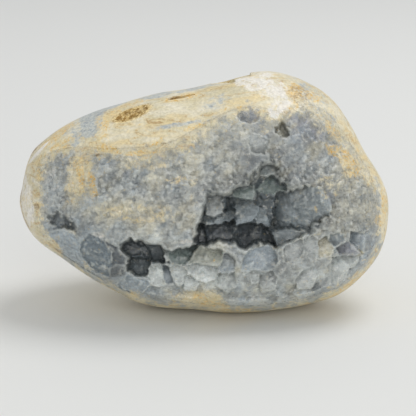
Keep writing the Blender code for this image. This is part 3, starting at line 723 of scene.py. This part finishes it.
# Soft ellipses: centre u, v; half-width and half-height; tilt in degrees; strength
STAINS = {
    "ochre": (
        (-64, 24.5, 13, 2.6, 40, 1), (-62, 19.5, 11, 3.4, 38, 0.8), (-51, 12, 6, 5, -12, 0.72),
        (-56, 3, 3, 6, 14, 0.66), (-52, 6, 2.2, 8, 12, 0.95), (-47, 2, 2.4, 9, 8, 0.95),
        (-57, -4.5, 4, 3, 0, 0.6), (-46, 14, 6, 3, 20, 0.75), (-43, 7, 3, 6, 0, 0.5),
        (-61, 12, 4, 3, 30, 0.5), (-43.5, 29, 4, 5.5, 35, 0.9), (-42.5, 22, 4, 6, 5, 0.75),
        (-38, 34.5, 8, 2, 36, 0.85), (-30, 38.2, 8, 2, 26, 0.8), (-10, 40.4, 10, 1.9, 13, 1.2),
        (-26.5, 32.5, 7, 1.2, 30, 0.7), (-21, 34.5, 4, 1, 10, 0.6), (-28, 28, 8, 0.9, 2, 0.7),
        (-17, 26.5, 11, 1.6, 10, 0.55), (-27, 15.8, 9, 1.5, 4, 1), (-40, 17.6, 9, 2, -12, 1),
        (-19, 20.6, 5, 1.3, 36, 1), (-4, 26.8, 8, 1.4, 16, 0.9), (10, 35.5, 7, 2, 25, 0.6),
        (15, 34.8, 2, 1.4, 40, 0.9), (25.5, 34.6, 2, 1.5, 0, 0.7), (39, 43, 5, 5, -30, 1.1),
        (47, 41, 6, 3, -36, 1), (37.5, 36.5, 5, 3, 10, 0.85), (47, 34.5, 8, 2.4, -38, 0.75),
        (55, 26.5, 8, 3.2, -50, 0.8), (57, 17, 8, 3.6, -20, 0.9), (62.5, 12, 4.6, 10, 30, 0.95),
        (66.5, 21, 2.6, 14, 34, 0.75), (79, -5, 2.6, 9, 4, 0.95), (76.5, -12.5, 3.4, 4, 0, 0.9),
        (71, 4, 3, 9, 30, 0.6), (-2, -45.5, 5, 3, -6, 0.8), (3, -48.5, 7, 2.6, 0, 0.85),
        (-9, -47, 4, 2, 0, 0.6), (63.5, -41, 15, 1.9, 38, 0.95), (73, -31, 5, 1.8, 55, 0.9),
        (14, -51.5, 12, 1.6, -2, 0.75), (50, -49, 9, 1.5, 14, 0.7), (-79.5, -17, 2, 6, 28, 0.95),
        (-66, -28.5, 12, 1, -38, 0.8), (-71.5, 8, 1.4, 5.5, 4, 0.75), (-22, -8, 12, 2.4, 0, 0.5),
        (-7, -10, 5, 2, 0, 0.45), (47.4, -7.6, 0.7, 2, 20, 1), (30.5, -24, 2, 0.8, 20, 0.55),
        (4.5, -29.1, 0.9, 0.8, 0, 1), (64, -4, 4, 8, 0, 0.35), (5, -56.5, 55, 5, 0, 0.9),
    ),
    "cream": (
        (-28, -9, 24, 6, -4, 0.75), (-46, -3, 12, 9, -10, 0.6), (-14, 15.5, 22, 4.5, 12, 0.65),
        (8, 24, 14, 8, 30, 0.6), (14, 12, 8, 8, 30, 0.45), (-52, 5, 10, 14, -10, 0.95),
        (64, 6, 9, 14, 20, 0.65), (70, -10, 6, 10, 8, 0.75), (54, 24, 9, 9, 40, 0.6),
        (52, 2, 10, 8, 0, 0.35), (-38, 14, 14, 4, 0, 0.5), (40, -46, 30, 3, 4, 0.55),
        (-30, -47, 30, 2.6, -20, 0.6), (20, -44, 24, 4, 0, 0.5), (0, -46, 12, 6, 0, 1),
        (4, -28, 7, 4, 0, 0.35), (50, -24, 6, 5, 0, 0.4),
    ),
    "white": (
        (16.5, 47.5, 4.6, 3, 0, 1), (22, 46.5, 8, 5, -12, 1), (30, 43.5, 7, 6.5, -10, 1),
        (26.5, 51, 6, 4, 0, 0.8), (33.5, 37.5, 4.6, 6, 0, 1), (29.5, 34, 3, 4.6, 10, 1),
        (-77.5, -3, 5, 17, 8, 0.85), (-66, 6, 5, 5, 0, 0.6), (-68, -4, 4, 4, 0, 0.55),
        (-72.3, 17, 7.5, 0.9, 46, 1.6), (-76, -8, 3, 6, 10, 0.6), (-7, -21.3, 4, 1.4, 0, 0.75),
        (-63, 1, 3, 2.4, 0, 0.55), (-56, 4, 2.4, 3, 0, 0.5), (-44.5, -18.5, 3.4, 1.8, -20, 0.65),
        (-63.5, -6, 8, 2, 30, 0.4), (-14, -44, 12, 3, -5, 0.4), (28, -45, 14, 2.5, 0, 0.4),
        (59, -35, 5, 5, 0, 0.45), (-32, 14, 12, 2.4, 0, 0.45),
    ),
    "grey": (
        (-50.5, 32, 5.5, 5, -22, 1.3), (-49.5, 26, 5, 4.5, 0, 1.25), (-54.5, 23, 7, 4, 34, 0.95),
        (-42, 38, 12, 3, 22, 1.2), (-46.5, 30, 4, 7, -10, 1.2), (-21, 42, 10, 1.9, 12, 1.1),
        (-4, 45.2, 14, 1.3, 13, 1), (-12, 27.8, 14, 1.3, 9, 1), (44, 43, 9, 5, -34, 0.9),
        (52, 32, 9, 5, -42, 0.75), (64, 16, 5, 8, 34, 0.55), (70, 0, 4, 8, 10, 0.5),
        (-68, 12, 4, 3, 30, 0.5), (45, 48, 12, 1.6, -22, 0.6), (-76, -22, 3, 5, 30, 0.6),
        (-56, 28, 9, 5, 34, 0.8), (6, 38, 10, 4.5, 18, 0.75), (50, 41, 8, 4, -42, 0.7),
        (-48, 22, 5, 3, 0, 0.5),
    ),
    "slate": (
        (17.6, 31.4, 4.4, 2.8, 8, 1.5), (16, 18.5, 1, 3.4, 30, 0.9), (46, 23.5, 1.2, 4.4, 40, 1.1),
        (42.5, 27.5, 3, 1.2, 20, 0.8), (-17, 13, 4, 1.2, -35, 0.9), (-31, 8, 4, 1.5, 25, 0.7),
        (-60, 12, 3, 2, 30, 0.8), (-66, 4, 2, 3.4, 20, 0.7), (53, -3, 3, 5, 30, 0.8), (3, 6, 5, 2, 40, 0.6),
        (-45, 34, 4, 1, 30, 0.8), (-51, 30, 3, 1.2, 40, 0.8), (60, -22, 3, 1.6, -30, 0.7),
        (71, -20, 3, 1.4, 20, 0.9), (20, -41, 3, 2, 0, 0.6),
    ),
    "brown": (
        (-29.5, 33.8, 5, 2.4, 35, 0.95), (-25, 36.8, 4, 1, 35, 0.8), (-13, 40.4, 3.5, 1, 14, 1.2),
        (-74.3, 19.2, 7, 1.2, 48, 1.1), (-66.5, 26.5, 5, 0.8, 42, 0.9), (-72, -6.5, 1.7, 1.7, 0, 1.4),
        (35.5, 33.5, 3, 1, 10, 0.9), (64.6, 22, 1.2, 5, 20, 0.7), (-81, 3, 0.8, 13, 3, 1),
        (-78.5, -13.5, 0.8, 6, 24, 1), (-44, 15.5, 3, 1, 20, 0.7), (-17, 19.8, 2, 0.7, 0, 0.9),
        (-71, 9, 0.9, 2, 0, 0.8), (41, 41.5, 7, 6, -34, 0.82),
    ),
}


def paint(made, points):
    """Stores the stains, and how far each point is on the limestone's side of the crystals' edge."""
    u, v = points[:, 0], points[:, 1]
    front = smooth_step(-14, 2, points[:, 2])
    for name, areas in STAINS.items():
        if name != "cream":
            store(made, name, spots(u, v, areas) * front)
    edge = 0.5 - 3.5 * smooth_step(-8, -30, v) * smooth_step(-72, -60, u) - 1.5 * smooth_step(60, 72, u)
    edge = edge + 3.0 * smooth_step(-64, -71, u) * smooth_step(-22, -12, v)
    edge = edge + 2.4 * waves(u, v, 14.0, 51) + 1.8 * waves(u, v, 5.0, 52) + 0.8 * waves(u, v, 2.2, 53)
    upper = smooth_step(-4, 12, v) * smooth_step(-70, -50, u)
    rim = rim_distance(u, v)
    stone = np.clip((edge - rim + 7.0 + 3.0 * upper) / (11.0 + 3.0 * upper), 0, 1)
    stone = np.maximum(stone, smooth_step(8, -2, points[:, 2]))
    store(made, "stone", np.maximum(stone, spots(u, v, STONE_ON_CRYSTALS)))
    sugary = 0.95 * upper * smooth_step(19, 1, rim) * smooth_step(-3, 0, rim)
    store(made, "cream", np.maximum(spots(u, v, STAINS["cream"]), sugary) * front)


# The pit on the left shoulder and the thin slit right of it: centre, size, tilt in degrees, and roughness
PIT = ((-30.8, 33.6, 27), (17, 8.4, 9), 32, 0.22)
THIN_SLIT = ((-10.5, 40.3, 22.5), (14, 1.6, 3.6), 14, 0.15)
# The two steps that spalled off the top: centre, size, tilt and dip to the front of what broke away
CHIPS = (
    ((8.4, 52.2, 8), (10.6, 9.4, 26), 1, 8),
    ((16.4, 54.1, 7), (8.4, 9.4, 22), 2, 7),
)
CHIP_ROUGHNESS = 0.35


def rough_ellipsoid(name, centre, size, tilt, roughness, seed):
    bm = bmesh.new()
    bmesh.ops.create_icosphere(bm, subdivisions=5, radius=0.5)
    for vert in bm.verts:
        swell = noise.fractal(vert.co * 5 + Vector((seed, 0, 0)), 0.8, 2.0, 4)
        vert.co *= 1 + roughness * swell
    turn_and_place(bm, centre, Matrix.Rotation(math.radians(tilt), 4, "Z"), size)
    return to_object(bm, name)


def rough_block(name, centre, size, tilt, dip, seed):
    bm = bmesh.new()
    bmesh.ops.create_cube(bm, size=1)
    bmesh.ops.subdivide_edges(bm, edges=bm.edges[:], cuts=CHIP_CUTS, use_grid_fill=True)
    turn = Matrix.Rotation(math.radians(tilt), 4, "Z") @ Matrix.Rotation(math.radians(dip), 4, "X")
    turn_and_place(bm, centre, turn, size)
    for vert in bm.verts:
        vert.co += CHIP_ROUGHNESS * noise.noise_vector(vert.co * 0.45 + Vector((seed, 0, 0)))
    return to_object(bm, name)


def build_limestone():
    """The limestone: the nodule less its hollow, the pit and slit on its shoulder, and its chips."""
    stone = build_nodule("limestone_nodule", NODULE_CUTS)
    combine(stone, opening_block("hollow_cutter", hollow_floor), "DIFFERENCE")
    combine(stone, rough_ellipsoid("pit_cutter", *PIT, seed=1), "DIFFERENCE")
    combine(stone, rough_ellipsoid("slit_pit_cutter", *THIN_SLIT, seed=3), "DIFFERENCE")
    for seed, chip in enumerate(CHIPS):
        combine(stone, rough_block("chip_cutter", *chip, seed=seed), "DIFFERENCE")
    points = points_of(stone)
    centre, size, tilt, _ = PIT
    pit = (Matrix.Translation(centre) @ Matrix.Rotation(math.radians(tilt), 4, "Z")).inverted()
    in_pit = np.array([(pit @ Vector(p))[:] for p in points]) / (np.array(size) / 2)
    store(stone, "pit", 1 - smooth_step(1.0, 1.35, np.linalg.norm(in_pit, axis=1)))
    paint(stone, points)
    return stone


# ---- materials


class Nodes:
    """Lays out one material's or group's nodes."""

    def __init__(self, tree):
        self.tree = tree

    def add(self, kind, settings=None, **inputs):
        made = self.tree.nodes.new(kind)
        for name, value in (settings or {}).items():
            setattr(made, name, value)
        for name, value in inputs.items():
            self.feed(made, name, value)
        return made

    def feed(self, made, name, value):
        """Sets or links one input, by its name or by its number."""
        socket = made.inputs[int(name)] if name.isdigit() else made.inputs[name]
        if isinstance(value, bpy.types.NodeSocket):
            self.tree.links.new(value, socket)
        else:
            socket.default_value = value

    def math(self, operation, a, b):
        return self.add("ShaderNodeMath", {"operation": operation}, **{"0": a, "1": b}).outputs[0]

    def times(self, a, b):
        return self.math("MULTIPLY", a, b)

    def shaded(self, base, shade):
        """A colour made darker or lighter by a number."""
        grey = self.add("ShaderNodeCombineColor", Red=shade, Green=shade, Blue=shade).outputs[0]
        return self.mix(1.0, base, grey, "MULTIPLY")

    def mix(self, share, a, b, blend="MIX"):
        settings = {"data_type": "RGBA", "blend_type": blend}
        return self.add("ShaderNodeMix", settings, **{"0": share, "6": a, "7": b}).outputs[2]

    def noise(self, position, scale, detail=3.0, roughness=0.55, distortion=0.0):
        return self.add(
            "ShaderNodeTexNoise", Vector=position, Scale=scale, Detail=detail, Roughness=roughness,
            Distortion=distortion,
        ).outputs["Fac"]

    def turned(self, position, rotation, scale):
        return self.add("ShaderNodeMapping", Vector=position, Rotation=rotation, Scale=scale).outputs[0]

    def span(self, value, low, high, to_low=0.0, to_high=1.0):
        numbered = {str(i): given for i, given in enumerate((value, low, high, to_low, to_high))}
        settings = {"clamp": True, "interpolation_type": "SMOOTHSTEP"}
        return self.add("ShaderNodeMapRange", settings, **numbered).outputs[0]

    def attribute(self, name, output="Fac"):
        return self.add("ShaderNodeAttribute", {"attribute_name": name}).outputs[output]


def colour(r, g, b):
    """A colour as the eye sees it, 0 to 255, for a shader."""
    return (*[(c / 255) ** 2.2 for c in (r, g, b)], 1.0)


def group_of(name, inputs, outputs):
    """A node group with named sockets, and its nodes between them."""
    group = bpy.data.node_groups.new(name, "ShaderNodeTree")
    for socket, kind in inputs:
        group.interface.new_socket(socket, in_out="INPUT", socket_type=kind)
    for socket, kind in outputs:
        group.interface.new_socket(socket, in_out="OUTPUT", socket_type=kind)
    nodes = Nodes(group)
    return group, nodes, nodes.add("NodeGroupInput"), nodes.add("NodeGroupOutput")


def build_broken_mask():
    """Breaks a soft mask's edge up into grains and streaks of a given size."""
    group, nodes, given, out = group_of(
        "broken_mask",
        (("Mask", "NodeSocketFloat"), ("Position", "NodeSocketVector"), ("Scale", "NodeSocketFloat")),
        (("Mask", "NodeSocketFloat"),),
    )
    grains = nodes.noise(given.outputs["Position"], given.outputs["Scale"], 5.0, 0.68, 0.4)
    low = nodes.math("SUBTRACT", 0.72, nodes.times(given.outputs["Mask"], 0.46))
    high = nodes.math("ADD", low, 0.28)
    within = nodes.span(given.outputs["Mask"], 0.02, 0.12)
    nodes.feed(out, "Mask", nodes.times(nodes.span(grains, low, high), within))
    return group


def build_stone_paint(broken_mask):
    """Limestone over crystal, with its stains: the same on both pieces, so that it crosses their joint."""
    group, nodes, given, out = group_of(
        "stone_paint",
        (("Crystal", "NodeSocketColor"), ("Position", "NodeSocketVector")),
        (("Colour", "NodeSocketColor"), ("Stone", "NodeSocketFloat"), ("Height", "NodeSocketFloat")),
    )
    at = given.outputs["Position"]

    def stained(base, name, scale, pale, strong, cover, least=0.3):
        broken = nodes.add("ShaderNodeGroup", {"node_tree": broken_mask},
                           Mask=nodes.attribute(name), Position=at, Scale=scale)
        grains = nodes.span(nodes.noise(at, scale * 2.6, 4.0, 0.62, 0.3), 0.38, 0.60, least, 1.0)
        share = nodes.times(broken.outputs[0], grains)
        deep = nodes.times(share, nodes.span(nodes.noise(at, scale * 2.6, 4.0, 0.7), 0.40, 0.66))
        return nodes.mix(nodes.times(share, cover), base, nodes.mix(deep, colour(*pale), colour(*strong)))

    layers = nodes.turned(at, (0.0, 0.0, -0.16), (0.26, 0.85, 0.5))
    swirl = nodes.noise(layers, 0.26, 3.0, 0.58, 1.2)
    cloud = nodes.noise(at, 0.10, 5.0, 0.62)
    stone = nodes.mix(nodes.span(cloud, 0.36, 0.64), colour(224, 215, 188), colour(206, 196, 162))
    stone = nodes.mix(nodes.span(swirl, 0.42, 0.72, 0.0, 0.75), stone, colour(222, 200, 148))
    stone = nodes.mix(nodes.span(swirl, 0.48, 0.26, 0.0, 0.6), stone, colour(232, 226, 208))
    line = nodes.times(nodes.span(swirl, 0.540, 0.556), nodes.span(swirl, 0.590, 0.570))
    line = nodes.times(line, nodes.span(cloud, 0.44, 0.56, 0.0, 0.75))
    stone = nodes.mix(line, stone, colour(178, 142, 92))
    ragged = nodes.times(nodes.math("SUBTRACT", nodes.noise(at, 0.26, 6.0, 0.72, 0.5), 0.5), 2.3)
    edge = nodes.span(nodes.math("ADD", nodes.attribute("stone"), ragged), 0.30, 0.74)
    base = nodes.mix(edge, given.outputs["Crystal"], stone)
    base = stained(base, "cream", 0.42, (208, 202, 180), (196, 184, 148), 0.68)
    base = stained(base, "grey", 0.32, (190, 196, 194), (150, 159, 163), 0.95, 0.85)
    base = stained(base, "slate", 0.50, (152, 158, 163), (118, 125, 133), 0.9, 0.6)
    base = stained(base, "ochre", 0.40, (230, 208, 154), (212, 166, 82), 1.0)
    base = stained(base, "white", 0.30, (238, 235, 228), (226, 220, 208), 1.0, 0.8)
    base = stained(base, "brown", 0.55, (158, 128, 80), (106, 84, 58), 0.85)
    fine = nodes.noise(at, 0.9, 4.0, 0.66)
    base = nodes.shaded(base, nodes.span(fine, 0.30, 0.70, 0.86, 1.14))
    specks = nodes.times(nodes.span(nodes.noise(at, 0.95, 2.0, 0.5), 0.66, 0.74), 0.5)
    base = nodes.mix(specks, base, colour(212, 190, 140))
    nodes.feed(out, "Colour", base)
    nodes.feed(out, "Stone", edge)
    nodes.feed(out, "Height", fine)
    return group


def face_position(nodes, shift):
    """The place on the object as u, v, w in millimetres."""
    lean_back = Matrix.Rotation(LEAN - math.pi / 2, 4, "X")
    return nodes.add(
        "ShaderNodeMapping",
        Vector=nodes.add("ShaderNodeTexCoord").outputs["Object"],
        Location=lean_back @ -shift,
        Rotation=(LEAN - math.pi / 2, 0, 0),
        Scale=(1 / MM, 1 / MM, 1 / MM),
    ).outputs[0]


def new_material(name):
    material = bpy.data.materials.new(name)
    material.use_nodes = True
    return material, Nodes(material.node_tree), material.node_tree.nodes["Principled BSDF"]


def set_bump(nodes, shader, height, strength, fine, at):
    """Bump from a height and a share of finer grain."""
    height = nodes.math("ADD", height, nodes.times(nodes.noise(at, 3.2, 3.0, 0.6), fine))
    bump = nodes.add("ShaderNodeBump", Strength=strength, Distance=BUMP_DISTANCE, Height=height)
    nodes.feed(shader, "Normal", bump.outputs[0])


def celestite_material(stone_paint, shift):
    """Cloudy, pale blue crystal, a little see-through, bluer in its depth."""
    material, nodes, shader = new_material("celestite_crystal")
    at = face_position(nodes, shift)
    cloud = nodes.noise(at, 0.35, 6.0, 0.66)
    veils = nodes.noise(nodes.turned(at, (0.3, 0.2, 0.6), (0.35, 1.6, 1.0)), 0.8, 4.0, 0.65)
    base = nodes.attribute("tint", "Color")
    base = nodes.mix(nodes.span(cloud, 0.52, 0.70, 0.0, 0.70), base, colour(214, 214, 206))
    base = nodes.mix(nodes.span(cloud, 0.46, 0.28, 0.0, 0.60), base, colour(112, 122, 128))
    base = nodes.shaded(base, nodes.span(veils, 0.3, 0.7, 0.86, 1.14))
    # Painted shade in the crevices between crystals, darker and cooler
    base = nodes.mix(nodes.times(nodes.attribute("crevice_shade"), 0.35), base, colour(96, 102, 102))
    # Paler crystal edges: partly chipped edges, partly a painted highlight
    base = nodes.mix(nodes.times(nodes.attribute("pale_edge_and_highlight"), 0.40), base, colour(218, 221, 214))
    painted = nodes.add("ShaderNodeGroup", {"node_tree": stone_paint}, Crystal=base, Position=at)
    stone_colour = nodes.shaded(painted.outputs["Colour"], 1.16)
    base = nodes.mix(painted.outputs["Stone"], painted.outputs["Colour"], stone_colour)
    nodes.feed(shader, "Base Color", base)
    nodes.feed(shader, "Roughness", nodes.span(nodes.noise(at, 0.5), 0.35, 0.65, 0.22, 0.46))
    for name, value in (
        ("Transmission Weight", 0.18), ("IOR", 1.62), ("Subsurface Weight", 0.45),
        ("Subsurface Radius", (1.0, 1.1, 1.2)), ("Subsurface Scale", 0.0032),
    ):
        shader.inputs[name].default_value = value
    absorb = nodes.add("ShaderNodeVolumeAbsorption", Color=(0.62, 0.74, 0.84, 1), Density=60.0)
    nodes.feed(material.node_tree.nodes["Material Output"], "Volume", absorb.outputs[0])
    set_bump(nodes, shader, painted.outputs["Height"], 0.4, 0.5, at)
    return material


def limestone_material(stone_paint, shift):
    """Pale, layered limestone, ground smooth, with a dull white spall and a golden pit."""
    material, nodes, shader = new_material("ground_limestone")
    at = face_position(nodes, shift)
    cloud = nodes.span(nodes.noise(at, 0.35, 5.0, 0.62), 0.35, 0.65)
    crystal = nodes.mix(cloud, colour(150, 154, 152), colour(184, 187, 182))
    painted = nodes.add("ShaderNodeGroup", {"node_tree": stone_paint}, Crystal=crystal, Position=at)
    grains = nodes.span(nodes.noise(at, 0.9, 4.0, 0.7), 0.35, 0.65)
    golden = nodes.mix(grains, colour(158, 126, 72), colour(246, 224, 166))
    base = nodes.mix(nodes.attribute("pit"), painted.outputs["Colour"], golden)
    nodes.feed(shader, "Base Color", base)
    rough = nodes.span(nodes.noise(at, 0.3), 0.3, 0.7, 0.34, 0.52)
    dull = nodes.times(nodes.attribute("white"), 0.85)
    nodes.feed(shader, "Roughness", nodes.math("MAXIMUM", rough, dull))
    set_bump(nodes, shader, painted.outputs["Height"], 0.25, 0.3, at)
    return material


# ---- placing


def placing():
    """The turn and the shift that stand the drawing on the floor where the CAD part stands."""
    lean = Matrix.Rotation(math.pi / 2 - LEAN, 4, "X")
    coarse = build_nodule("placing_form", PLACING_CUTS)
    corners = np.array([(lean @ v.co)[:] for v in coarse.data.vertices])
    bpy.data.objects.remove(coarse)
    low, high = corners.min(0), corners.max(0)
    shift = Vector((-(low[0] + high[0]) / 2, -(low[1] + high[1]) / 2, -(low[2] + BASE_CUT)))
    return Matrix.Scale(MM, 4) @ Matrix.Translation(shift) @ lean, shift


def stand_up(piece, place):
    """Stands a piece on the floor, cut flat where it rests."""
    piece.data.transform(place)
    bm = bmesh.new()
    bm.from_mesh(piece.data)
    whole = bm.verts[:] + bm.edges[:] + bm.faces[:]
    cut = bmesh.ops.bisect_plane(bm, geom=whole, plane_co=(0, 0, 0), plane_no=(0, 0, -1), clear_outer=True)
    edges = [g for g in cut["geom_cut"] if isinstance(g, bmesh.types.BMEdge)]
    if edges:
        bmesh.ops.edgeloop_fill(bm, edges=edges)
    bm.to_mesh(piece.data)
    bm.free()


def build_stage(middle):
    """A pale floor, soft light from above, and the camera square to the opening."""
    bm = bmesh.new()
    bmesh.ops.create_grid(bm, x_segments=1, y_segments=1, size=4)
    floor = to_object(bm, "studio_floor")
    material, nodes, shader = new_material("pale_floor")
    shader.inputs["Base Color"].default_value = colour(228, 228, 225)
    shader.inputs["Roughness"].default_value = 0.7
    floor.data.materials.append(material)

    world = bpy.data.worlds.new("soft_room")
    world.use_nodes = True
    world.node_tree.nodes["Background"].inputs["Color"].default_value = ROOM_COLOUR
    world.node_tree.nodes["Background"].inputs["Strength"].default_value = ROOM_LIGHT
    bpy.context.scene.world = world
    for name, place, size, power in LAMPS:
        lamp = bpy.data.lights.new(name, "AREA")
        lamp.shape = "DISK"
        lamp.size = size
        lamp.energy = power
        lit = bpy.data.objects.new(name, lamp)
        lit.location = place
        lit.rotation_euler = (Vector(place) - Vector(LAMPS_AIM)).to_track_quat("Z", "Y").to_euler()
        bpy.context.scene.collection.objects.link(lit)

    back = Vector((0, -math.cos(LEAN), math.sin(LEAN)))
    up = back.cross(Vector((1, 0, 0)))
    aim = middle + Vector((1, 0, 0)) * AIM_RIGHT + up * AIM_UP
    camera = bpy.data.objects.new("photo_camera", bpy.data.cameras.new("photo_camera"))
    camera.data.lens = LENS
    camera.data.sensor_width = 36
    camera.data.clip_start = 0.01
    camera.location = aim + back * CAMERA_DISTANCE
    camera.rotation_euler = back.to_track_quat("Z", "Y").to_euler()
    bpy.context.scene.collection.objects.link(camera)
    bpy.context.scene.camera = camera
    bpy.context.scene.view_settings.view_transform = "Standard"


def main():
    place, shift = placing()
    stone_paint = build_stone_paint(build_broken_mask())
    stone = build_limestone()
    druse = build_druse()
    for piece, material, node, slot in (
        (stone, limestone_material(stone_paint, shift), "limestone_rind", "limestone"),
        (druse, celestite_material(stone_paint, shift), "celestite_crust", "celestite"),
    ):
        stand_up(piece, place)
        piece.data.materials.clear()
        piece.data.materials.append(material)
        piece.data.shade_smooth()
        piece.data.set_sharp_from_angle(angle=SHARP_ANGLE)
        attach(piece, "root")
        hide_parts(node)
    build_stage(shift * MM)


main()
